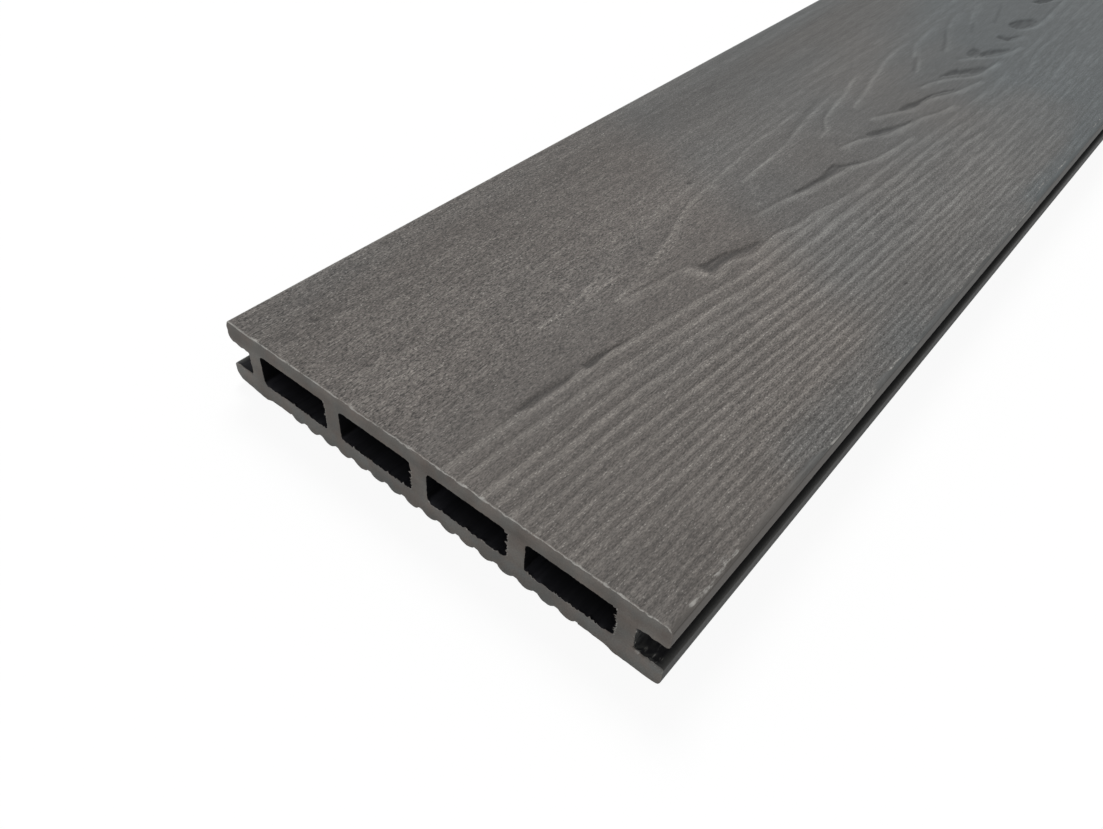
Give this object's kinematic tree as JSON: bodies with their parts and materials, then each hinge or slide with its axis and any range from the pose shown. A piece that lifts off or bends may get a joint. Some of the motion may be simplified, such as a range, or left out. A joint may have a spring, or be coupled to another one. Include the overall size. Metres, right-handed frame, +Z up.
{
  "type": "decking board",
  "caption": "Hollow composite decking board with a wood-grain walking face, a clip groove along each side and a reeded underside.",
  "frame": {"origin": "middle of the underside, on the plane of the feet and the reeds", "axes": "+X along the board, +Y across it, +Z up out of the walking face"},
  "size_m": [2.2, 0.146, 0.022],
  "materials": {
    "composite": "dark grey wood-plastic composite, matte, embossed with wood grain on top"
  },
  "bodies": {
    "root": {"deck_board": "composite"}
  },
  "joints": []
}
